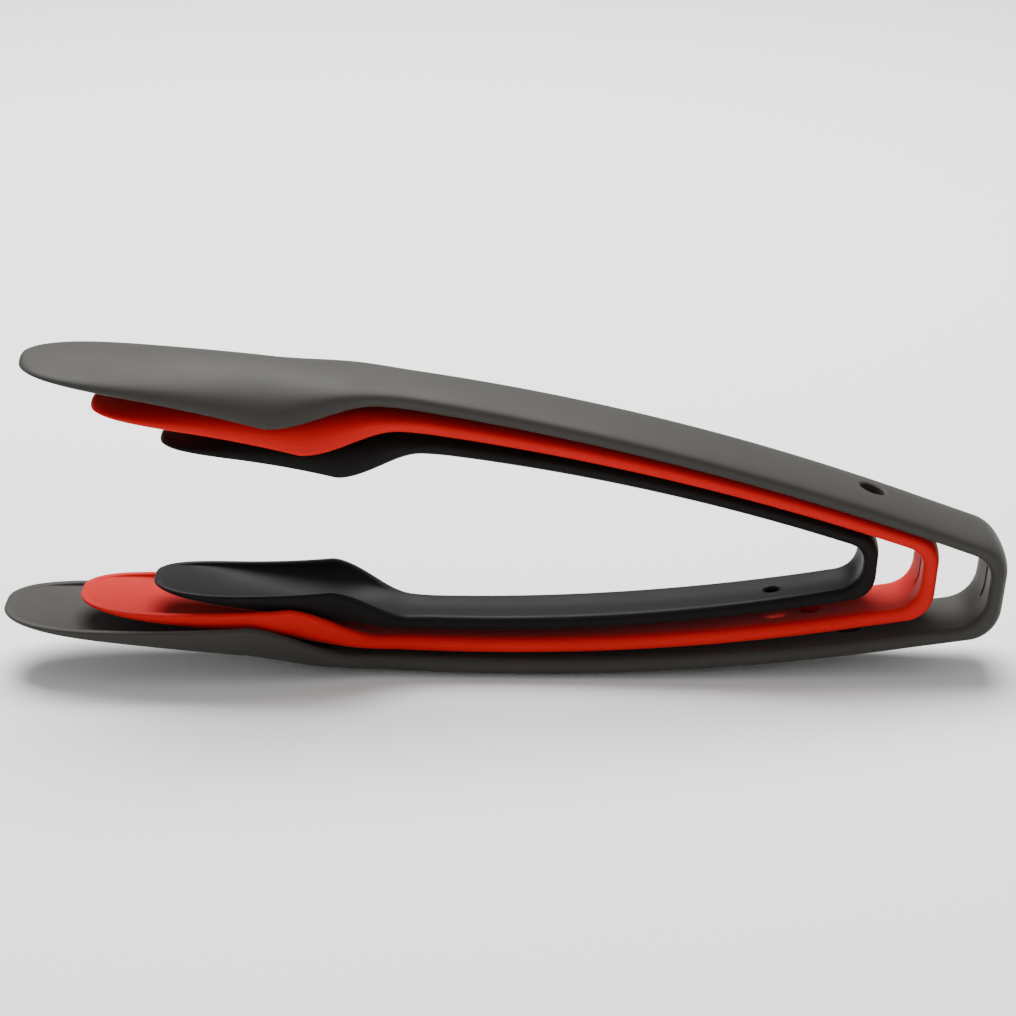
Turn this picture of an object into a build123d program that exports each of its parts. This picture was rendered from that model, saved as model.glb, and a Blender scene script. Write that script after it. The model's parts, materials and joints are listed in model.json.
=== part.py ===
from build123d import *
from math import atan, cos, radians, sin, tan
import os

# Three nesting spring tongs, each a sprung steel strip bent into a U and moulded over with silicone.
# +X points to the bent ends, +Z up. The nest stands on the back of the large tong's lower arm.
# Each tong is laid out along its own mid-plane: "along" runs from the outside of the bend towards
# the tips, "off" is the distance away from the mid-plane. The lower arm mirrors the upper one.

# ---- driving dimensions, mm and degrees ----
TONGS = {
    "large": dict(
        reach=299.0, bend_x=150.5, bend_z=26.41, tilt=6.05,   # tip distance, outside of the bend, mid-plane tilt
        root_along=27.0, root_off=21.2, splay=14.0, bow_radius=800.0,  # where the arm starts, its angle and curve
        root_half=13.8, waist_half=15.4, head_half=22.0,    # half widths of the arm and of the scoop
        edge=4.5, rise=3.1, rim_drop=8.7,                   # side height, crowned part of it, scoop lip depth
        tip_length=36.0, tip_back=40.7, tip_rim=38.4,       # rounded tip, and where its two faces stand off
        wall=2.8, floor=3.4, dish=0.9, corner=12.0,         # scoop walls, hollow of the grip, bend radius
        core_half=8.5, hole_along=43.0, hole_radius=4.0, slot=True),
    "medium": dict(
        reach=256.0, bend_x=130.1, bend_z=30.16, tilt=5.2,
        root_along=22.0, root_off=18.0, splay=13.6, bow_radius=700.0,
        root_half=12.0, waist_half=13.2, head_half=18.4,
        edge=4.1, rise=2.8, rim_drop=8.3,
        tip_length=31.0, tip_back=31.9, tip_rim=29.6,
        wall=2.5, floor=3.1, dish=0.8, corner=10.0,
        core_half=7.3, hole_along=35.0, hole_radius=3.1, slot=True),
    "small": dict(
        reach=216.5, bend_x=112.2, bend_z=33.46, tilt=4.45,
        root_along=18.0, root_off=14.2, splay=13.4, bow_radius=600.0,
        root_half=10.2, waist_half=10.8, head_half=15.6,
        edge=3.7, rise=2.5, rim_drop=7.7,
        tip_length=26.0, tip_back=24.0, tip_rim=21.9,
        wall=2.3, floor=2.9, dish=0.7, corner=8.5,
        core_half=6.2, hole_along=29.5, hole_radius=2.3, slot=False),
}
STEP_START, STEP_END = 0.640, 0.752     # the lip steps inward between these fractions of the reach
WIDEN_START, WIDEN_END = 0.60, 0.77     # the arm widens into the scoop between these
WAIST_END = 0.62                        # the slight swell of the grip ends here
STATION_COUNT = 30                      # sections that each arm is lofted through
CORE_END = 0.92                         # the strip stops short of the tip by this fraction
CORE_THICK = 0.9
HOLE_LINING = 1.2                       # silicone left between the steel and the hole
SLOT_WIDE, SLOT_TALL = 2.2, 12.0        # the mark of the moulding pin that held the strip in the bend


def smooth(t):
    t = min(max(t, 0.0), 1.0)
    return t * t * (3 - 2 * t)


def grow(start, end, t):
    return start + (end - start) * t


def back_off(tong, along):
    """Height of the crowned back above the mid-plane: a long arc that falls in a little at the tip."""
    run = along - tong["root_along"]
    full = tong["reach"] - tong["root_along"]
    slope = tan(radians(tong["splay"]))
    arc = tong["root_off"] + slope * run - run ** 2 / (2 * tong["bow_radius"])
    arc_tip = tong["root_off"] + slope * full - full ** 2 / (2 * tong["bow_radius"])
    past = max(0.0, (along / tong["reach"] - STEP_START) / (1 - STEP_START))
    return arc - (arc_tip - tong["tip_back"]) * past ** 2


def side_depth(tong, along):
    """Depth of the arm's side from the crown to its inner lip, which steps inward for the scoop."""
    grip = tong["edge"] + 1.3
    part = along / tong["reach"]
    past = min(max((part - STEP_END) / (1 - STEP_END), 0.0), 1.0)
    tip = tong["tip_back"] - tong["tip_rim"]
    deep = grow(grip + tong["rim_drop"], tip, past ** 0.95)
    return grow(grip, deep, smooth((part - STEP_START) / (STEP_END - STEP_START)))


def half_width(tong, along):
    part = along / tong["reach"]
    swell = sin(radians(180 * min(part / WAIST_END, 1.0)))
    grip = grow(tong["root_half"], tong["waist_half"], swell)
    return grow(grip, tong["head_half"], smooth((part - WIDEN_START) / (WIDEN_END - WIDEN_START)))


def headness(along, tong):
    return smooth((along / tong["reach"] - 0.60) / 0.16)


def point_at(tong, along, off):
    tilt = radians(tong["tilt"])
    x = tong["bend_x"] - along * cos(tilt) + off * sin(tilt)
    z = tong["bend_z"] + along * sin(tilt) + off * cos(tilt)
    return Vector(x, 0, z)


def section_plane(tong, along):
    """Plane square to the arm's back, its origin on the crown and its +Y pointing outwards."""
    probe = 0.5
    slope = atan((back_off(tong, along + probe) - back_off(tong, along - probe)) / (2 * probe))
    turn = radians(tong["tilt"]) + slope
    direction = Vector(-cos(turn), 0, sin(turn))
    return Plane(origin=point_at(tong, along, back_off(tong, along)), x_dir=(0, -1, 0), z_dir=direction)


def mid_plane(tong):
    tilt = radians(tong["tilt"])
    return Plane(origin=point_at(tong, 0, 0), x_dir=(-cos(tilt), 0, sin(tilt)), z_dir=(sin(tilt), 0, cos(tilt)))


def crowned_outline(plane, half, rise, roundness, top, bottom):
    """Closed outline with a crowned top, straight sides and a flat bottom."""
    side = top - rise
    rise_pull, flat_pull = roundness
    with BuildSketch(plane) as outline:
        with BuildLine():
            right = Bezier((half, side), (half, side + rise_pull * rise), (flat_pull * half, top), (0, top))
            Bezier((0, top), (-flat_pull * half, top), (-half, side + rise_pull * rise), (-half, side))
            Polyline((-half, side), (-half, bottom), (half, bottom), right @ 0)
        make_face()
    return outline.sketch


def roundness_of(head, flat):
    """Pull of the curve handles: near an ellipse on the scoop, flatter with tighter shoulders on the grip."""
    return grow(0.75, 0.60, head), grow(flat, 0.55, head)


def outer_outline(tong, along):
    head = headness(along, tong)
    depth = side_depth(tong, along)
    rise = grow(tong["rise"], max(depth * 0.80, 1.4), head)
    plane = section_plane(tong, along)
    return crowned_outline(plane, half_width(tong, along), rise, roundness_of(head, 0.60), 0, -depth)


def hollow_outline(tong, along):
    """Hollow of the inner face: a shallow dish along the grip that deepens into the scoop."""
    head = headness(along, tong)
    depth = side_depth(tong, along)
    thick = grow(depth - tong["dish"], min(tong["floor"], depth - 0.5), head)
    rise = grow(tong["dish"], max(depth - thick, 0.5), head)
    half = half_width(tong, along) - grow(tong["wall"] * 0.6, tong["wall"], head)
    plane = section_plane(tong, along)
    return crowned_outline(plane, half, rise, roundness_of(head, 0.45), -thick, -depth - 4)


def arm_stations(tong, lead=0):
    """Evenly spaced distances along the arm, starting a lead ahead of its root."""
    start, end = tong["root_along"] - lead, 1.01 * tong["reach"]
    return [grow(start, end, i / STATION_COUNT) for i in range(STATION_COUNT + 1)]


def tip_plan(tong, inset):
    """Plan outline, straight sided with an elliptical tip, drawn in towards the middle by inset."""
    half = tong["head_half"] - inset + 0.02
    length = tong["tip_length"] - inset
    straight = tong["reach"] - tong["tip_length"]
    with BuildSketch(mid_plane(tong)) as plan:
        with Locations((straight, 0)):
            Ellipse(length, half)
        with Locations((straight / 2 - 30, 0)):
            Rectangle(straight + 60, 2 * half)
    return plan.sketch


def lofted(sections, plan):
    """Loft through the sections, then trimmed to the plan outline."""
    with BuildPart() as body:
        add(sections)
        loft()
        extrude(plan, amount=80, mode=Mode.INTERSECT)
    return body.part


def arm_solid(tong):
    arm = lofted([outer_outline(tong, along) for along in arm_stations(tong)], tip_plan(tong, 0))
    hollows = [hollow_outline(tong, along) for along in arm_stations(tong, lead=3)]
    return without(arm, lofted(hollows, tip_plan(tong, tong["wall"] * 0.8)))


def core_band(tong, along):
    """Section of the steel strip, in the middle of the skin."""
    skin = grow(side_depth(tong, along) - tong["dish"], tong["floor"], headness(along, tong))
    middle = -min(skin, side_depth(tong, along)) / 2 - 0.15
    with BuildSketch(section_plane(tong, along)) as band:
        with Locations((0, middle)):
            Rectangle(2 * tong["core_half"], CORE_THICK)
    return band.sketch


def arm_core(tong):
    stations = [along for along in arm_stations(tong) if along < CORE_END * tong["reach"]]
    with BuildSketch(mid_plane(tong)) as plan:
        with Locations((stations[-1] / 2, 0)):
            SlotOverall(stations[-1] + 60, 2 * tong["core_half"])
    return lofted([core_band(tong, along) for along in stations], plan.sketch)


def bend_path(tong):
    """Line of the back through half of the bend, from the arm's root to the mid-plane."""
    tilt = radians(tong["tilt"])
    corner_off = tong["root_off"] - tan(radians(tong["splay"])) * tong["root_along"]
    root = (tong["root_along"], tong["root_off"])
    side = Plane(origin=point_at(tong, 0, 0), x_dir=(-cos(tilt), 0, sin(tilt)), z_dir=(0, 1, 0))
    with BuildLine(side) as path:
        FilletPolyline(root, (0, corner_off), (0, 0), radius=tong["corner"])
    return path.wire()


def bent(section, tong):
    """The section swept round the whole bend."""
    path = bend_path(tong)
    with BuildPart() as bend:
        sweep(section, path=path)
        mirror(about=mid_plane(tong))
    return bend.part


def bend_solid(tong):
    root = tong["root_along"]
    return without(bent(outer_outline(tong, root), tong), bent(hollow_outline(tong, root), tong))


def bend_core(tong):
    return bent(core_band(tong, tong["root_along"]), tong)


def drill(tong, radius):
    """Hanging hole, square through the arm."""
    plane = section_plane(tong, tong["hole_along"])
    with BuildPart() as bore:
        with BuildSketch(Plane(origin=plane.origin, x_dir=(0, 1, 0), z_dir=plane.y_dir)):
            Circle(radius)
        extrude(amount=12, both=True)
    return bore.part


def pin_slot(tong):
    """Slot in the inner face of the bend, down to the strip."""
    skin = side_depth(tong, tong["root_along"])
    tilt = radians(tong["tilt"])
    face = Plane(origin=point_at(tong, skin / 2, 0), x_dir=(0, 1, 0), z_dir=(-cos(tilt), 0, sin(tilt)))
    with BuildPart() as slot:
        with BuildSketch(face):
            SlotOverall(SLOT_TALL, SLOT_WIDE, rotation=90)
        extrude(amount=skin)
    return slot.part


def without(body, *tools):
    with BuildPart() as cut:
        add(body)
        for tool in tools:
            add(tool, mode=Mode.SUBTRACT)
    return cut.part


def mirrored(body, tong):
    with BuildPart() as twin:
        add(mirror(body, about=mid_plane(tong), mode=Mode.PRIVATE))
    return twin.part


def write(body, name):
    body.label = name
    export_step(body, f"parts/{name}.step")


def make_tong(size, tong):
    hole = drill(tong, tong["hole_radius"])
    upper_core = without(arm_core(tong), drill(tong, tong["hole_radius"] + HOLE_LINING))
    upper_jaw = without(arm_solid(tong), upper_core, hole)
    bow_spring = bend_core(tong)
    bow = without(bend_solid(tong), bow_spring, *([pin_slot(tong)] if tong["slot"] else []))
    write(upper_jaw, f"{size}_upper_jaw")
    write(upper_core, f"{size}_upper_core")
    write(mirrored(upper_jaw, tong), f"{size}_lower_jaw")
    write(mirrored(upper_core, tong), f"{size}_lower_core")
    write(bow, f"{size}_bow")
    write(bow_spring, f"{size}_bow_spring")


os.makedirs("parts", exist_ok=True)
for size, tong in TONGS.items():
    make_tong(size, tong)
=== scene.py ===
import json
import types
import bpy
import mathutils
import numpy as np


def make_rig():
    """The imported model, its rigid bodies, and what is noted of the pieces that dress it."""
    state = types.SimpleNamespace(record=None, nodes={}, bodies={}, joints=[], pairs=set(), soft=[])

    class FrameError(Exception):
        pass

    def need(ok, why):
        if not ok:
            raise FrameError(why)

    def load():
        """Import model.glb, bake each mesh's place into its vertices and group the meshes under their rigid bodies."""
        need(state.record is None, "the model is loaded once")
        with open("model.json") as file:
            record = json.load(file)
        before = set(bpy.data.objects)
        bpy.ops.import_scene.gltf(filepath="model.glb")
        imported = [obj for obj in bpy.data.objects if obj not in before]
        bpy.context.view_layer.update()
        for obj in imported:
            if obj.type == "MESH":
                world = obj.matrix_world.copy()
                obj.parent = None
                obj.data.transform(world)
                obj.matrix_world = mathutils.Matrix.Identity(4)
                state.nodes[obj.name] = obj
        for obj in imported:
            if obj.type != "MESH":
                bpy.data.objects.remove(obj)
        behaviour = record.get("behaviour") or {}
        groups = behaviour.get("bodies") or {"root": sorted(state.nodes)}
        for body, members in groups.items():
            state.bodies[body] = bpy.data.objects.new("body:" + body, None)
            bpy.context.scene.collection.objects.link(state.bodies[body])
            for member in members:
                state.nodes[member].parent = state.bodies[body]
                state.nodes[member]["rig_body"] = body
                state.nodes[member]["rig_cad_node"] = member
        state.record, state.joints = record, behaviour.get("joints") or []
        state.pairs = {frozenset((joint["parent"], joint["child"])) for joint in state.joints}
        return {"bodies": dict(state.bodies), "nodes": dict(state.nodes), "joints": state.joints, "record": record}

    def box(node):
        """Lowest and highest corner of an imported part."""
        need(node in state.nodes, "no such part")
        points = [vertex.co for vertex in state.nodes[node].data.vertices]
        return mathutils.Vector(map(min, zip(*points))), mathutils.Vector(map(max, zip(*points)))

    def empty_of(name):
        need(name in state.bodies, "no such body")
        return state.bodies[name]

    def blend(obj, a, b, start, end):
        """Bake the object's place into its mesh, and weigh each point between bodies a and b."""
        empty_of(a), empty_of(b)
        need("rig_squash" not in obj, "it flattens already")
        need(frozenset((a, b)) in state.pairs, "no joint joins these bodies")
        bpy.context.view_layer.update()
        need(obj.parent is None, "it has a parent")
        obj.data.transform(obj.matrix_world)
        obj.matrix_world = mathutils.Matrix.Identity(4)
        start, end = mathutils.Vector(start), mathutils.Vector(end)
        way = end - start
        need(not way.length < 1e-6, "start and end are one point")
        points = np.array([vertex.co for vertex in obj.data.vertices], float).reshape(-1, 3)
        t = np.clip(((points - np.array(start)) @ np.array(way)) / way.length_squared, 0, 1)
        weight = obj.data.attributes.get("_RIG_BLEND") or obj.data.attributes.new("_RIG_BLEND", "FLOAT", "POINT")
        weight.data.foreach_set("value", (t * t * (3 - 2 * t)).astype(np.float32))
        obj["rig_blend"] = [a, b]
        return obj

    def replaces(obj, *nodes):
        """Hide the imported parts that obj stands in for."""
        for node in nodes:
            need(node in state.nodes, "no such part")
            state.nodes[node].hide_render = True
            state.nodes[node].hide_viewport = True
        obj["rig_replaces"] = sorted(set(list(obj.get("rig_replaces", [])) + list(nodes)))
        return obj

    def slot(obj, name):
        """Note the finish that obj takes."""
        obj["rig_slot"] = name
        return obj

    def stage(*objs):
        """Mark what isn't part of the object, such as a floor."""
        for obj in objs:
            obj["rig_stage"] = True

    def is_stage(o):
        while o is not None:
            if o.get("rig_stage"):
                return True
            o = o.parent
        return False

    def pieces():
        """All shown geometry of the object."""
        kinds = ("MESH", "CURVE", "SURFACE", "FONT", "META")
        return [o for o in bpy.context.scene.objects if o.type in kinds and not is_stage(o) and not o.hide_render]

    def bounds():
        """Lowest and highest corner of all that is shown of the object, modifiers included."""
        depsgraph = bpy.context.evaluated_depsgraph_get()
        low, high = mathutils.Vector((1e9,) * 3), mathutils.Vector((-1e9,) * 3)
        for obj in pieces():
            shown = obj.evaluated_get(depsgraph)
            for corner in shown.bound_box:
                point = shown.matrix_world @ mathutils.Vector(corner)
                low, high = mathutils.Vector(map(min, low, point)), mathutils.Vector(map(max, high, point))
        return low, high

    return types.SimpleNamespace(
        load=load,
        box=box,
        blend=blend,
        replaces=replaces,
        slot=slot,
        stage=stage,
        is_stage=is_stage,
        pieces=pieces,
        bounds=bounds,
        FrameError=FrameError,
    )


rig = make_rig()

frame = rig.load()

import json
import math

import bmesh
import bpy
import numpy as np
from mathutils import Vector

cad_low, cad_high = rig.bounds()


# Large tong's silicone: one warm grey cover, moulded in a single shot over its steel strip, with both
# scoop jaws, the grips and the bend in one, and every edge rounded. Mould pins leave the hanging holes
# and the slot inside the bend.

millimetre = 0.001

# A drawing is in millimetres and degrees. Along runs from the bend to the jaws on the tong's middle plane,
# off is the height above that plane, and across is the width. The lower arm mirrors the upper one.
large = dict(
    reach=299.0, tilt=6.05, root_along=27.0, root_off=21.2, splay=14.0, bow_radius=800.0,
    root_half=13.8, waist_half=15.4, head_half=22.0, edge=4.5, rise=3.1, rim_drop=8.7,
    tip_length=36.0, tip_back=40.7, tip_rim=38.4, wall=2.8, floor=3.4, dish=0.9, corner=12.0,
    inner_corners=(7.5, 10.5), core_half=8.5, hole_along=43.0, hole_radius=4.0, slot=True)

# The jaws begin where the sides step down and the arm widens, all as shares of the reach.
step_start, step_end = 0.640, 0.752
widen_start, widen_end = 0.60, 0.77
head_start, head_blend = 0.60, 0.16
waist_end = 0.62
rim_curve = 0.95
grip_side = 1.3
bluntness = 2.6


def smooth(t):
    """Eases from 0 to 1."""
    t = min(max(t, 0.0), 1.0)
    return t * t * (3 - 2 * t)


def grow(start, end, t):
    """The value a share t of the way from start to end."""
    return start + (end - start) * t


def back_off(tong, along):
    """Height of the arm's back above the middle plane: a shallow bow that drops off towards the tip."""
    run = along - tong["root_along"]
    full = tong["reach"] - tong["root_along"]
    slope = math.tan(math.radians(tong["splay"]))
    arc = tong["root_off"] + slope * run - run ** 2 / (2 * tong["bow_radius"])
    arc_tip = tong["root_off"] + slope * full - full ** 2 / (2 * tong["bow_radius"])
    past = max(0.0, (along / tong["reach"] - step_start) / (1 - step_start))
    return arc - (arc_tip - tong["tip_back"]) * past ** 2


probe = 0.5
tip_steps = 26


def back_turn(tong, along):
    """Angle of the back to the middle plane."""
    return math.atan((back_off(tong, along + probe) - back_off(tong, along - probe)) / (2 * probe))


def side_depth(tong, along):
    """Depth of the side below the back: shallow on the grip, deep on the scoop, shallow again at the tip."""
    grip = tong["edge"] + grip_side
    part = along / tong["reach"]
    past = min(max((part - step_end) / (1 - step_end), 0.0), 1.0)
    deep = grow(grip + tong["rim_drop"], tong["tip_back"] - tong["tip_rim"], past ** rim_curve)
    return grow(grip, deep, smooth((part - step_start) / (step_end - step_start)))


def rounded_off(past):
    """What is left of a blunt tip's half width at a share of its length."""
    return max(0.0, 1 - past ** bluntness) ** (1 / bluntness)


def half_width(tong, along):
    """Half the arm's width: a slim root, a fuller grip, a wide scoop and a blunt tip."""
    part = along / tong["reach"]
    swell = math.sin(math.pi * min(part / waist_end, 1.0))
    grip = grow(tong["root_half"], tong["waist_half"], swell)
    full = grow(grip, tong["head_half"], smooth((part - widen_start) / (widen_end - widen_start)))
    past = max(0.0, along - (tong["reach"] - tong["tip_length"])) / tong["tip_length"]
    return full * rounded_off(past)


def headness(tong, along):
    """0 on the grip, 1 on the scoop."""
    return smooth((along / tong["reach"] - head_start) / head_blend)


def arm_stations(tong, pitch):
    """(along, off, turn) down the arm from its root to the tip, closer together round the tip."""
    straight = tong["reach"] - tong["tip_length"]
    count = int((straight - tong["root_along"]) / pitch)
    alongs = [grow(tong["root_along"], straight, i / count) for i in range(count)]
    for i in range(tip_steps + 1):
        alongs.append(straight + tong["tip_length"] * math.sin(math.pi / 2 * i / tip_steps))
    return [(along, back_off(tong, along), back_turn(tong, along)) for along in alongs]


least_steps = 3
arc_pitch = 0.6


def bend_stations(tong, pitch):
    """(along, off, turn) round the upper half of the bend, from the middle plane to the arm's root."""
    splay = math.radians(tong["splay"])
    corner_off = tong["root_off"] - math.tan(splay) * tong["root_along"]
    cut = tong["corner"] * math.tan((math.pi / 2 - splay) / 2)
    flat = corner_off - cut
    middle = (tong["corner"], flat)
    stations = []
    flat_steps = max(least_steps, int(flat / pitch))
    for i in range(flat_steps):
        stations.append((0.0, flat * i / flat_steps, math.pi / 2))
    arc_steps = int(tong["corner"] * (math.pi / 2 - splay) / (pitch * arc_pitch))
    for i in range(arc_steps):
        turn = grow(math.pi / 2, splay, i / arc_steps)
        stations.append((middle[0] - tong["corner"] * math.sin(turn),
                         middle[1] + tong["corner"] * math.cos(turn), turn))
    leg = (cut * math.cos(splay), corner_off + cut * math.sin(splay))
    leg_steps = max(least_steps, int((tong["root_along"] - leg[0]) / pitch))
    for i in range(leg_steps):
        t = i / leg_steps
        stations.append((grow(leg[0], tong["root_along"], t), grow(leg[1], tong["root_off"], t), splay))
    return stations


hair = 1e-6


def corner_fill(tong, side, along, off, turn):
    """Silicone added inside the bend's corner, so that its inner face turns on a wide radius."""
    radius = tong["inner_corners"][0 if side > 0 else 1]
    splay = math.radians(tong["splay"])
    depth = side_depth(tong, tong["root_along"])
    corner_off = tong["root_off"] - math.tan(splay) * tong["root_along"]
    far = depth + radius
    centre = (far, corner_off - far * (1 - math.sin(splay)) / math.cos(splay))
    to_centre = (centre[0] - along, centre[1] - off)
    inward = (math.sin(turn), -math.cos(turn))
    past_corner = to_centre[0] * math.cos(turn) + to_centre[1] * math.sin(turn) < 0
    on_leg = turn < splay + hair
    on_flat = turn > math.pi / 2 - hair
    if (on_leg and past_corner) or (on_flat and off < centre[1]):
        return 0.0
    reach = to_centre[0] * inward[0] + to_centre[1] * inward[1]
    inside = reach ** 2 - to_centre[0] ** 2 - to_centre[1] ** 2 + radius ** 2
    return max(0.0, reach - math.sqrt(max(inside, 0.0)) - depth)


def half_run(tong, pitch):
    """The back's upper half as (along, off, turn, drawn), where drawn is where its section is taken."""
    bend = [station + (tong["root_along"],) for station in bend_stations(tong, pitch)]
    arm = [station + (station[0],) for station in arm_stations(tong, pitch)]
    return bend + arm


def whole_run(upper):
    """The stations from the lower tip round the bend to the upper tip, each with its side, -1 or 1."""
    lower = [(along, -off, -turn, drawn) for along, off, turn, drawn in upper[:0:-1]]
    return [(station, -1) for station in lower] + [(station, 1) for station in upper]


def stand(points, tong):
    """Points given as (along, across, off) turned to the tong's tilt, in metres."""
    tilt = math.radians(tong["tilt"])
    flat = np.array(points) * millimetre
    return np.stack([-flat[:, 0] * math.cos(tilt) + flat[:, 2] * math.sin(tilt),
                     flat[:, 1],
                     flat[:, 0] * math.sin(tilt) + flat[:, 2] * math.cos(tilt)], axis=1)


def place_of(tong, points, nodes):
    """The step that sets the standing points into the box of the CAD nodes."""
    standing = stand(points, tong)
    lows, highs = zip(*(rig.box(node) for node in nodes))
    step = (np.min(lows, axis=0) + np.max(highs, axis=0) - standing.min(axis=0) - standing.max(axis=0)) / 2
    step[1] = 0
    return step


def quarter(start, end, setting_out, steps):
    """Points of an elliptical quarter from start to end, setting out straight down or straight in."""
    points = []
    for i in range(steps):
        angle = math.pi / 2 * i / steps
        if setting_out == "down":
            across = grow(start[0], end[0], 1 - math.cos(angle))
            height = grow(start[1], end[1], math.sin(angle))
        else:
            across = grow(start[0], end[0], math.sin(angle))
            height = grow(start[1], end[1], 1 - math.cos(angle))
        points.append((across, height))
    return points


def pulled(points, steps):
    """Cubic curve through four handles, without its last point."""
    a, b, c, d = (np.array(p) for p in points)
    return [tuple((1 - t) ** 3 * a + 3 * (1 - t) ** 2 * t * b + 3 * (1 - t) * t ** 2 * c + t ** 3 * d)
            for t in (i / steps for i in range(steps))]


# Steps round half of a section, and what shapes its crest, lip and hollow, from the grip's to the scoop's.
crest_steps, wall_steps, lip_steps, turn_steps, cave_steps = 16, 4, 6, 5, 13
nose = 1.2
thinnest = 0.02
crest_share, least_crest = 0.80, 1.4
lip_heights = (2.3, 1.4)
lip_shares, lip_rest = (0.85, 0.45), 0.25
grip_wall = 4.2
ridge_share = 0.55
crest_pulls, shoulder_pulls = (0.60, 0.46), (0.75, 0.56)
cave_pulls, cave_rises = (0.45, 0.55), (0.75, 0.60)
least_side = 0.5
least_inner, most_inner = 0.12, 0.9
tip_fade = 5.0


def skin_section(tong, along, fill):
    """Half of the section as (across, height), from the crown over the side and lip to the inner middle."""
    head = headness(tong, along)
    depth = side_depth(tong, along) + fill
    half = max(half_width(tong, along), thinnest)
    left = tong["reach"] - along
    squash = math.sqrt(max(0.0, 1 - (1 - left / nose) ** 2)) if left < nose else 1.0
    rise = grow(tong["rise"], max(depth * crest_share, least_crest), head)
    lip = min(grow(*lip_heights, head), grow(*lip_shares, head) * (depth - rise) + lip_rest)
    wall = grow(grip_wall, tong["wall"], head)
    straight = tong["reach"] - tong["tip_length"]
    past = max(0.0, along - straight) / (tong["tip_length"] - tong["wall"])
    inner_full = half_width(tong, min(along, straight)) - wall
    inner = max(inner_full * rounded_off(past), least_inner * half)
    inner = min(inner, most_inner * half)
    thick = grow(depth - tong["dish"], min(tong["floor"], depth - least_side), head)
    fade = smooth((left - tong["wall"]) / tip_fade)
    hollow = max((depth - thick) * fade, thinnest)
    inner_lip = min(lip, hollow / 2)
    ridge = grow(half, inner, ridge_share)

    crest = pulled([(0, 0), (grow(*crest_pulls, head) * half, 0),
                    (half, -rise + grow(*shoulder_pulls, head) * rise), (half, -rise)], crest_steps)
    wall_side = [(half, grow(-rise, -depth + lip, i / wall_steps)) for i in range(wall_steps)]
    outer_lip = quarter((half, -depth + lip), (ridge, -depth), "down", lip_steps)
    inner_turn = quarter((ridge, -depth), (inner, -depth + inner_lip), "in", turn_steps)
    rest = hollow - inner_lip
    cave_foot = -depth + inner_lip
    cave = pulled([(inner, cave_foot), (inner, cave_foot + grow(*cave_rises, head) * rest),
                   (grow(*cave_pulls, head) * inner, -depth + hollow), (0, -depth + hollow)], cave_steps)
    scoop = inner_turn + cave + [(0, -depth + hollow)]
    shares = [i / (len(scoop) - 1) for i in range(len(scoop))]
    gentle = [(ridge * (1 - share), -depth + hollow * smooth(share)) for share in shares]
    scoop = [(grow(a[0], b[0], head), grow(a[1], b[1], head)) for a, b in zip(gentle, scoop)]
    middle = -depth / 2
    return [(across, middle + (height - middle) * squash)
            for across, height in crest + wall_side + outer_lip + scoop]


# How widely the painted edge highlight spreads round the shoulder and the lip ridge, and how strong it is on the
# shoulder.
shoulder_spread, ridge_spread = 2.2, 4.0
shoulder_highlight = 0.6


def edge_share(count):
    """How near each point of the half section is to the shoulder or the lip ridge, from 0 to 1: there a painted
    highlight lightens the silicone and it turns a little smoother.
    """
    shoulder = crest_steps - 3
    ridge = crest_steps + wall_steps + lip_steps - 2
    return [max(math.exp(-((i - shoulder) / shoulder_spread) ** 2) * shoulder_highlight,
                math.exp(-((i - ridge) / ridge_spread) ** 2))
            for i in range(count)]


def ring_faces(rings, around):
    """Quads between rings of points, each ring closed on itself."""
    faces = []
    for ring in range(rings - 1):
        here, there = ring * around, (ring + 1) * around
        for i in range(around):
            j = (i + 1) % around
            faces.append((here + i, here + j, there + j, there + i))
    return faces


skin_pitch = 1.6
weld = 0.02 * millimetre


def skin_mesh(name, tong, nodes):
    """The closed skin from the lower tip round the bend to the upper tip, and the step that places it."""
    points, shares = [], []
    runs = whole_run(half_run(tong, skin_pitch))
    for (along, off, turn, drawn), side in runs:
        in_bend = along < tong["root_along"] - hair
        fill = corner_fill(tong, side, along, abs(off), abs(turn)) if in_bend else 0.0
        section = skin_section(tong, drawn, fill)
        share = edge_share(len(section))
        full = section + [(-across, height) for across, height in section[-2:0:-1]]
        shares += share + share[-2:0:-1]
        normal = (-math.sin(abs(turn)), side * math.cos(turn))
        for across, height in full:
            points.append((along + normal[0] * height, across, off + normal[1] * height))
    around = len(full)
    step = place_of(tong, points, nodes)
    placed = stand(points, tong) + step
    mesh = bpy.data.meshes.new(name)
    mesh.from_pydata([tuple(p) for p in placed], [], ring_faces(len(runs), around))
    # Each point's nearness to a shoulder or lip ridge: it paints a highlight there and makes the silicone glossier.
    mesh.attributes.new("edge_highlight_and_gloss", "FLOAT", "POINT").data.foreach_set("value", shares)
    body = bmesh.new()
    body.from_mesh(mesh)
    bmesh.ops.remove_doubles(body, verts=body.verts, dist=weld)
    open_edges = [edge for edge in body.edges if edge.is_boundary]
    if open_edges:
        bmesh.ops.holes_fill(body, edges=open_edges)
    bmesh.ops.recalc_face_normals(body, faces=body.faces)
    body.to_mesh(mesh)
    body.free()
    return mesh, step


def plugged(name, rings, tong, step):
    """A closed cutter through rings of (along, across, off) points, with flat ends."""
    around = len(rings[0])
    ends = [tuple(range(around))[::-1], tuple((len(rings) - 1) * around + i for i in range(around))]
    points = stand([point for ring in rings for point in ring], tong) + step
    mesh = bpy.data.meshes.new(name)
    mesh.from_pydata([tuple(p) for p in points], [], ends + ring_faces(len(rings), around))
    body = bmesh.new()
    body.from_mesh(mesh)
    bmesh.ops.recalc_face_normals(body, faces=body.faces)
    body.to_mesh(mesh)
    body.free()
    return mesh


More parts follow.
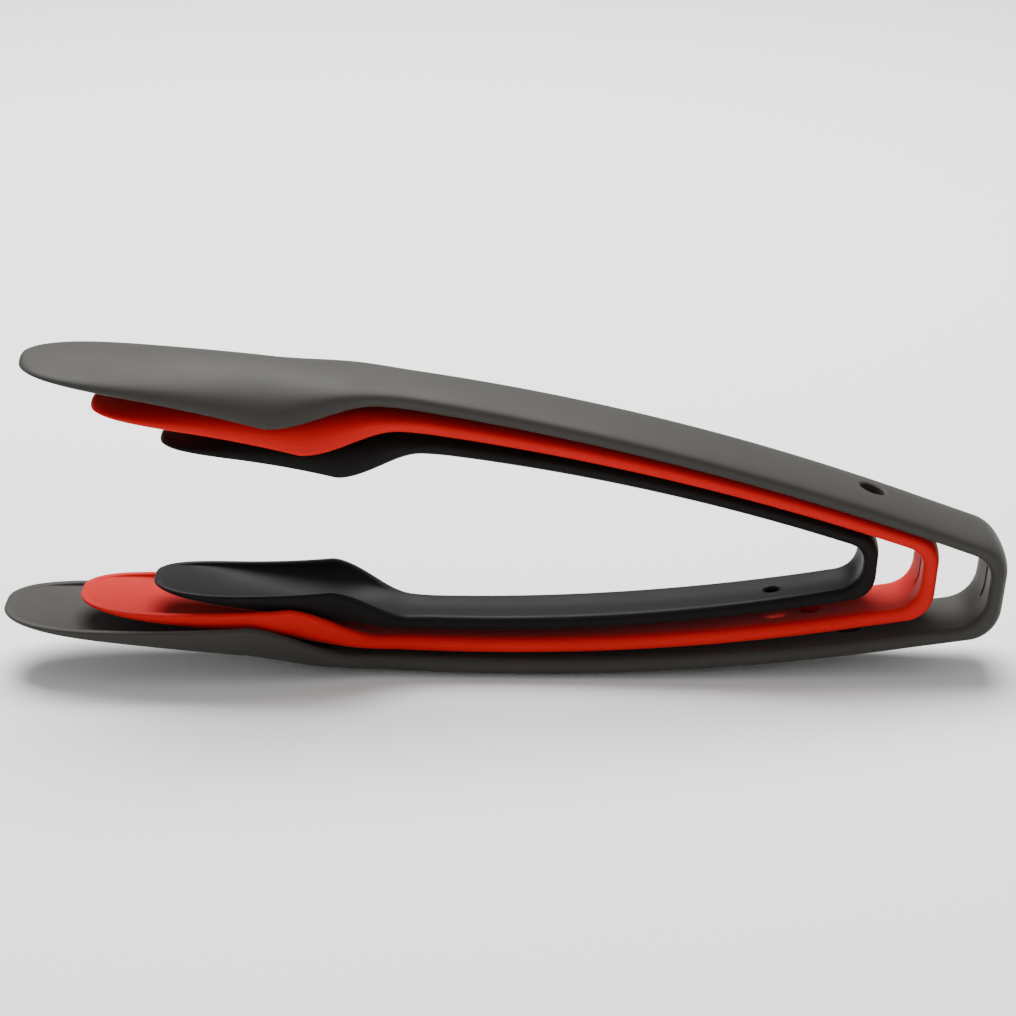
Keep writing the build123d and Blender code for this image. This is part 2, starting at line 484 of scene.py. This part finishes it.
def hole_frame(tong, side):
    """Centre, tangent and outward normal of the hanging hole, each as (along, off)."""
    along = tong["hole_along"]
    turn = back_turn(tong, along)
    return ((along, side * back_off(tong, along)), (math.cos(turn), side * math.sin(turn)),
            (-math.sin(turn), side * math.cos(turn)))


soft_mouth = 0.11
mouth_flare = 1.15
mouth_sink = 0.12
mouth_steps = 6
hole_sides = 64
cutter_spare = 4


def hole_cutter(tong, side, step):
    """The hanging hole with both mouths rounded over, as the mould's pin leaves it."""
    centre, tangent, normal = hole_frame(tong, side)
    radius = tong["hole_radius"]
    soft = soft_mouth * radius
    outer = -mouth_sink
    inner = -(side_depth(tong, tong["hole_along"]) - tong["dish"]) + mouth_sink
    arc = [math.pi / 2 * i / mouth_steps for i in range(mouth_steps + 1)]
    profile = [(radius + soft * mouth_flare, inner - cutter_spare), (radius + soft, inner)]
    profile += [(radius + soft * (1 - math.sin(a)), inner + soft * (1 - math.cos(a))) for a in arc[1:]]
    profile += [(radius + soft * (1 - math.cos(a)), outer - soft * (1 - math.sin(a))) for a in arc]
    profile += [(radius + soft * mouth_flare, cutter_spare)]
    rings = []
    for reach, height in profile:
        ring = []
        for i in range(hole_sides):
            angle = 2 * math.pi * i / hole_sides
            a, b = reach * math.cos(angle), reach * math.sin(angle)
            ring.append((centre[0] + tangent[0] * a + normal[0] * height, b,
                         centre[1] + tangent[1] * a + normal[1] * height))
        rings.append(ring)
    return plugged("hole_cutter", rings, tong, step)


slot_wide, slot_tall, slot_deep = 2.2, 12.0, 9
slot_sides = 32
strip_sink = 0.15


def slot_cutter(tong, step):
    """The upright slot that a mould pin leaves in the inner face of the bend, down to the steel."""
    strip_middle = (side_depth(tong, tong["root_along"]) - tong["dish"]) / 2 + strip_sink
    outline = []
    for i in range(slot_sides):
        angle = 2 * math.pi * i / slot_sides
        end = math.copysign((slot_tall - slot_wide) / 2, math.sin(angle) + hair)
        outline.append((slot_wide / 2 * math.cos(angle), slot_wide / 2 * math.sin(angle) + end))
    rings = [[(along, across, off) for across, off in outline]
             for along in (strip_middle, strip_middle + slot_deep)]
    return plugged("slot_cutter", rings, tong, step)


def cut(piece, cutters):
    """Subtracts the cutters from the piece."""
    tools = []
    for mesh in cutters:
        tool = bpy.data.objects.new(mesh.name, mesh)
        bpy.context.collection.objects.link(tool)
        tools.append(tool)
        knife = piece.modifiers.new(mesh.name, "BOOLEAN")
        knife.object, knife.operation, knife.solver = tool, "DIFFERENCE", "EXACT"
    bpy.context.view_layer.update()
    carved = bpy.data.meshes.new_from_object(piece.evaluated_get(bpy.context.evaluated_depsgraph_get()))
    piece.modifiers.clear()
    piece.data = carved
    for tool in tools:
        bpy.data.objects.remove(tool)


def bend_ends(tong, step):
    """The lower and the upper end of the bend, between which the tong flexes."""
    ends = stand([(tong["root_along"] / 2, 0, side * tong["root_off"]) for side in (-1, 1)], tong) + step
    return {"start": Vector(ends[0]), "end": Vector(ends[1])}


class Amount:
    """A number inside a shader. Arithmetic on it adds Math nodes."""

    def __init__(self, finish, socket):
        self.finish = finish
        self.socket = socket

    def joined(self, operation, first, second=0.0):
        return self.finish.node("ShaderNodeMath", {"operation": operation}, {0: first, 1: second})

    def __add__(self, other):
        return self.joined("ADD", self, other)

    def __sub__(self, other):
        return self.joined("SUBTRACT", self, other)

    def __rsub__(self, other):
        return self.joined("SUBTRACT", other, self)

    def __mul__(self, other):
        return self.joined("MULTIPLY", self, other)

    __radd__ = __add__
    __rmul__ = __mul__


class Finish:
    """One material, with its nodes added through node()."""

    def __init__(self, name):
        self.material = bpy.data.materials.new(name)
        self.material.use_nodes = True
        self.tree = self.material.node_tree
        self.shader = self.tree.nodes["Principled BSDF"]
        self.place = self.node("ShaderNodeTexCoord", output="Object")

    def node(self, kind, settings=None, inputs=None, output=0):
        made = self.tree.nodes.new(kind)
        for key, value in (settings or {}).items():
            setattr(made, key, value)
        for key, value in (inputs or {}).items():
            self.feed(made.inputs[key], value)
        return Amount(self, made.outputs[output])

    def feed(self, socket, value):
        if isinstance(value, Amount):
            self.tree.links.new(value.socket, socket)
        else:
            socket.default_value = value

    def set(self, **inputs):
        for key, value in inputs.items():
            self.feed(self.shader.inputs[key.replace("_", " ")], value)

    def speckle(self, per_metre, detail=2.0, rough=0.5):
        """Noise from 0 to 1 around a half."""
        return self.node("ShaderNodeTexNoise", None, {
            "Vector": self.place, "Scale": per_metre, "Detail": detail, "Roughness": rough}, "Fac")

    def carried(self, name):
        """A number that the mesh carries at each point."""
        return self.node("ShaderNodeAttribute", {"attribute_name": name}, None, "Fac")

    def banded(self, amount, low, high):
        """The amount stretched so that low becomes 0 and high becomes 1, held between them."""
        return self.node("ShaderNodeMapRange", None, {
            "Value": amount, "From Min": low, "From Max": high}, "Result")

    def raised(self, amount, strength, height):
        """Bumps as high as the amount says."""
        return self.node("ShaderNodeBump", None, {
            "Strength": strength, "Distance": height, "Height": amount}, "Normal")

    def blend_colours(self, share, first, second):
        mix = self.tree.nodes.new("ShaderNodeMix")
        mix.data_type = "RGBA"
        self.feed(mix.inputs["Factor"], share)
        first_colour, second_colour = [socket for socket in mix.inputs if socket.type == "RGBA"]
        self.feed(first_colour, first)
        self.feed(second_colour, second)
        return Amount(self, next(socket for socket in mix.outputs if socket.type == "RGBA"))


# How many clouds, dull patches, ripples and grains of the mould's surface lie along a metre.
clouds, patches, ripples, grains = 22.0, 55.0, 95.0, 2600.0
relief_strength, relief_height = 0.10, 0.0004


def silicone(name, deep, bright, roughness, shine):
    """Satin moulded silicone: a fine even grain, faint cloudiness, edges a little smoother, and a painted highlight
    that lightens the shoulders and lip ridges.
    """
    finish = Finish(name)
    edge_highlight_and_gloss = finish.carried("edge_highlight_and_gloss")
    cloud = finish.banded(finish.speckle(clouds, 3.0), 0.3, 0.7)
    # The base colour lightens with a random cloudy tone and, along the shoulders and lip ridges, with a painted
    # highlight.
    lighter = 0.55 * cloud + 0.30 * edge_highlight_and_gloss
    finish.set(Base_Color=finish.blend_colours(lighter, deep, bright))
    patch = finish.banded(finish.speckle(patches, 4.0, 0.6), 0.25, 0.75)
    finish.set(Roughness=roughness + 0.08 * patch - 0.07 * edge_highlight_and_gloss)
    relief = finish.speckle(grains, 2.0, 0.55) * 0.25 + finish.speckle(ripples, 1.0) * 0.75
    finish.set(Normal=finish.raised(relief, relief_strength, relief_height),
               Sheen_Weight=0.02, Sheen_Roughness=0.5)
    finish.shader.inputs["Specular IOR Level"].default_value = shine
    return finish.material


def moulded_skin(size, tong, coat, slot):
    """One tong's cover, carved, coated and tied to the frame. Gives back the step that places the tong."""
    nodes = [f"{size}_lower_jaw", f"{size}_upper_jaw", f"{size}_bow"]
    body, step = skin_mesh(f"{size}_silicone_skin", tong, nodes)
    skin = bpy.data.objects.new(f"{size}_silicone_skin", body)
    bpy.context.collection.objects.link(skin)
    cutters = [hole_cutter(tong, side, step) for side in (1, -1)]
    if tong["slot"]:
        cutters.append(slot_cutter(tong, step))
    cut(skin, cutters)
    for face in skin.data.polygons:
        face.use_smooth = True
    skin.data.materials.clear()
    skin.data.materials.append(coat)
    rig.replaces(skin, *nodes)
    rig.slot(skin, slot)
    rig.blend(skin, "nest_lower", f"{size}_upper", **bend_ends(tong, step))
    return step


grey_silicone = silicone("grey_silicone", (0.034, 0.0325, 0.0285, 1), (0.044, 0.042, 0.0368, 1), 0.52, 0.10)
large_step = moulded_skin("large", large, grey_silicone, "grey_silicone")


# Medium tong's silicone: the same moulding in tomato red, made to lie inside the large tong's arms with
# about half a millimetre to spare. It has holes of its own and the same slot inside its bend.

medium = dict(
    reach=256.0, tilt=5.2, root_along=22.0, root_off=18.0, splay=13.6, bow_radius=700.0,
    root_half=12.0, waist_half=13.2, head_half=18.4, edge=4.1, rise=2.8, rim_drop=8.3,
    tip_length=31.0, tip_back=31.9, tip_rim=29.6, wall=2.5, floor=3.1, dish=0.8, corner=10.0,
    inner_corners=(6.0, 9.0), core_half=7.3, hole_along=35.0, hole_radius=3.1, slot=True)
red_silicone = silicone("red_silicone", (0.44, 0.008, 0.007, 1), (0.55, 0.012, 0.010, 1), 0.56, 0.06)
medium_step = moulded_skin("medium", medium, red_silicone, "red_silicone")


# Small tong's silicone: the innermost and slimmest cover, moulded in black. Its holes are the smallest,
# and its bend is closed all round, without a slot.

small = dict(
    reach=216.5, tilt=4.45, root_along=18.0, root_off=14.2, splay=13.4, bow_radius=600.0,
    root_half=10.2, waist_half=10.8, head_half=15.6, edge=3.7, rise=2.5, rim_drop=7.7,
    tip_length=26.0, tip_back=24.0, tip_rim=21.9, wall=2.3, floor=2.9, dish=0.7, corner=8.5,
    inner_corners=(5.2, 7.8), core_half=6.2, hole_along=29.5, hole_radius=2.3, slot=False)
black_silicone = silicone("black_silicone", (0.0060, 0.0055, 0.0050, 1), (0.0100, 0.0092, 0.0085, 1),
                          0.45, 0.055)
small_step = moulded_skin("small", small, black_silicone, "black_silicone")


# Spring strips: one band of sprung stainless steel per tong, buried in the silicone from jaw to jaw.
# It shows only at the bottom of the slots inside the bends, and it gives each tong its spring.

def wire(tree, socket, source):
    """Links a socket to its source, or sets it to a plain value."""
    if isinstance(source, bpy.types.NodeSocket):
        tree.links.new(source, socket)
    else:
        socket.default_value = source


def geometry_node(tree, kind, settings=None, inputs=None, output=0):
    """Adds one node to the strip's tree and gives back its output."""
    made = tree.nodes.new(kind)
    for key, value in (settings or {}).items():
        setattr(made, key, value)
    for key, value in (inputs or {}).items():
        wire(tree, made.inputs[key], value)
    return made.outputs[output]


drill_length = 6 * millimetre


def strip_tree():
    """A rounded flat band along the piece's own line, with a clear hole at both hanging holes."""
    tree = bpy.data.node_groups.new("spring_strip", "GeometryNodeTree")
    tree.interface.new_socket("Geometry", in_out="OUTPUT", socket_type="NodeSocketGeometry")
    for name, kind in (("Geometry", "NodeSocketGeometry"), ("Width", "NodeSocketFloat"),
                       ("Thickness", "NodeSocketFloat"), ("Edge Radius", "NodeSocketFloat"),
                       ("Hole Radius", "NodeSocketFloat"), ("Upper Hole", "NodeSocketVector"),
                       ("Upper Turn", "NodeSocketVector"), ("Lower Hole", "NodeSocketVector"),
                       ("Lower Turn", "NodeSocketVector"), ("Steel", "NodeSocketMaterial")):
        tree.interface.new_socket(name, in_out="INPUT", socket_type=kind)
    given = tree.nodes.new("NodeGroupInput").outputs
    line = geometry_node(tree, "GeometryNodeMeshToCurve", None, {"Mesh": given["Geometry"]})
    line = geometry_node(tree, "GeometryNodeSetCurveNormal", {"mode": "FREE"},
                         {"Curve": line, "Normal": (0, 1, 0)})
    band = geometry_node(tree, "GeometryNodeCurvePrimitiveQuadrilateral", {"mode": "RECTANGLE"},
                         {"Width": given["Width"], "Height": given["Thickness"]})
    band = geometry_node(tree, "GeometryNodeFilletCurve", {"mode": "POLY"},
                         {"Curve": band, "Radius": given["Edge Radius"], "Count": 3, "Limit Radius": True})
    strip = geometry_node(tree, "GeometryNodeCurveToMesh", None,
                          {"Curve": line, "Profile Curve": band, "Fill Caps": True})
    for end in ("Upper", "Lower"):
        drill = geometry_node(tree, "GeometryNodeMeshCylinder", None,
                              {"Vertices": 48, "Radius": given["Hole Radius"], "Depth": drill_length})
        drill = geometry_node(tree, "GeometryNodeTransform", None,
                              {"Geometry": drill, "Translation": given[f"{end} Hole"],
                               "Rotation": given[f"{end} Turn"]})
        strip = geometry_node(tree, "GeometryNodeMeshBoolean",
                              {"operation": "DIFFERENCE", "solver": "EXACT"},
                              {"Mesh 1": strip, "Mesh 2": drill})
    real = geometry_node(tree, "GeometryNodeRealizeInstances", None, {"Geometry": strip})
    real = geometry_node(tree, "GeometryNodeSetMaterial", None,
                         {"Geometry": real, "Material": given["Steel"]})
    tree.links.new(real, tree.nodes.new("NodeGroupOutput").inputs["Geometry"])
    return tree


brush_scale = (60.0, 2400.0, 60.0)
brush_strength, brush_height = 0.15, 0.0001
steel = Finish("brushed_spring_steel")
along_strip = steel.node("ShaderNodeMapping", None, {"Vector": steel.place, "Scale": brush_scale})
streaks = steel.node("ShaderNodeTexNoise", None, {
    "Vector": along_strip, "Scale": 1.0, "Detail": 3.0}, "Fac")
steel.set(Base_Color=steel.blend_colours(streaks, (0.42, 0.42, 0.41, 1), (0.60, 0.60, 0.58, 1)),
          Metallic=1.0, Roughness=0.26 + 0.16 * streaks)
steel.set(Normal=steel.raised(streaks, brush_strength, brush_height))

strip_rule = strip_tree()
strip_thickness, strip_edge = 0.9, 0.2
hole_lining, hole_depth = 1.2, 2.6
strip_share, strip_pitch = 0.92, 2.5
moulded = (("large", large, large_step), ("medium", medium, medium_step), ("small", small, small_step))
for size, tong, step in moulded:
    middle = []
    upper = [station for station in half_run(tong, strip_pitch) if station[3] < strip_share * tong["reach"]]
    for (along, off, turn, drawn), side in whole_run(upper):
        thick = grow(side_depth(tong, drawn) - tong["dish"], tong["floor"], headness(tong, drawn))
        height = -min(thick, side_depth(tong, drawn)) / 2 - strip_sink
        middle.append((along - math.sin(abs(turn)) * height, 0, off + side * math.cos(turn) * height))
    line = bpy.data.meshes.new(f"{size}_spring_strip")
    line.from_pydata([tuple(p) for p in stand(middle, tong) + step],
                     [(i, i + 1) for i in range(len(middle) - 1)], [])
    strip = bpy.data.objects.new(f"{size}_spring_strip", line)
    bpy.context.collection.objects.link(strip)
    rule = strip.modifiers.new("spring_strip", "NODES")
    rule.node_group = strip_rule
    sizes = {"Width": 2 * tong["core_half"] * millimetre, "Thickness": strip_thickness * millimetre,
             "Edge Radius": strip_edge * millimetre, "Steel": steel.material,
             "Hole Radius": (tong["hole_radius"] + hole_lining) * millimetre}
    for end, side in (("Upper", 1), ("Lower", -1)):
        centre, tangent, normal = hole_frame(tong, side)
        here = (centre[0] - normal[0] * hole_depth, 0, centre[1] - normal[1] * hole_depth)
        there = (centre[0], 0, centre[1])
        here, there = stand([here, there], tong) + step
        sizes[f"{end} Hole"] = tuple(here)
        sizes[f"{end} Turn"] = tuple((Vector(there) - Vector(here)).to_track_quat("Z", "Y").to_euler())
    for socket in strip_rule.interface.items_tree:
        if socket.in_out == "INPUT" and socket.name in sizes:
            rule[socket.identifier] = sizes[socket.name]
    bpy.context.view_layer.update()
    made = bpy.data.meshes.new_from_object(strip.evaluated_get(bpy.context.evaluated_depsgraph_get()))
    strip.modifiers.clear()
    strip.data = made
    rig.replaces(strip, f"{size}_lower_core", f"{size}_upper_core", f"{size}_bow_spring")
    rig.slot(strip, "spring_steel")
    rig.blend(strip, "nest_lower", f"{size}_upper", **bend_ends(tong, step))


# Studio: a pale sweep under the nest, one large soft light overhead and two weak ones at the side and front.
# The camera stands a metre off and looks down at 20 degrees.

def aim(thing, target):
    thing.rotation_euler = (Vector(target) - thing.location).to_track_quat("-Z", "Y").to_euler()


nest_middle = (Vector(cad_low) + Vector(cad_high)) / 2
camera_distance = 1.0
camera_height_angle = math.radians(20)
camera_target = nest_middle + Vector((0.0012, 0, 0.0003))
camera = bpy.data.objects.new("camera", bpy.data.cameras.new("camera"))
camera.data.lens = 118.1
camera.location = camera_target + camera_distance * Vector(
    (0, -math.cos(camera_height_angle), math.sin(camera_height_angle)))
aim(camera, camera_target)
bpy.context.collection.objects.link(camera)
bpy.context.scene.camera = camera

sweep_half = 2.5
sweep_mesh = bpy.data.meshes.new("sweep")
corners = [(x * sweep_half, y * sweep_half, cad_low[2]) for x, y in ((-1, -1), (1, -1), (1, 1), (-1, 1))]
sweep_mesh.from_pydata(corners, [], [(0, 1, 2, 3)])
sweep = bpy.data.objects.new("sweep", sweep_mesh)
bpy.context.collection.objects.link(sweep)
pale = Finish("sweep_paper")
pale.set(Base_Color=(0.93, 0.93, 0.93, 1), Roughness=0.9)
sweep_mesh.materials.append(pale.material)
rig.stage(sweep)

softboxes = (
    ("overhead", (-0.10, 0.60, 1.20), 1.2, 50.0),
    ("side_fill", (1.4, -0.3, 0.8), 1.0, 3.0),
    ("front_fill", (-0.6, -1.4, 0.6), 0.9, 5.0),
)
for name, place, width, watts in softboxes:
    lamp = bpy.data.objects.new(name, bpy.data.lights.new(name, "AREA"))
    lamp.data.shape = "DISK"
    lamp.data.size = width
    lamp.data.energy = watts
    lamp.location = place
    aim(lamp, nest_middle)
    bpy.context.collection.objects.link(lamp)

world = bpy.data.worlds.new("room")
world.use_nodes = True
world.node_tree.nodes["Background"].inputs["Color"].default_value = (1, 1, 1, 1)
world.node_tree.nodes["Background"].inputs["Strength"].default_value = 0.42
bpy.context.scene.world = world

low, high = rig.bounds()
with open("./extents.json", "w") as sizes:
    json.dump({"cad": [list(cad_low), list(cad_high)], "visual": [list(low), list(high)]}, sizes)
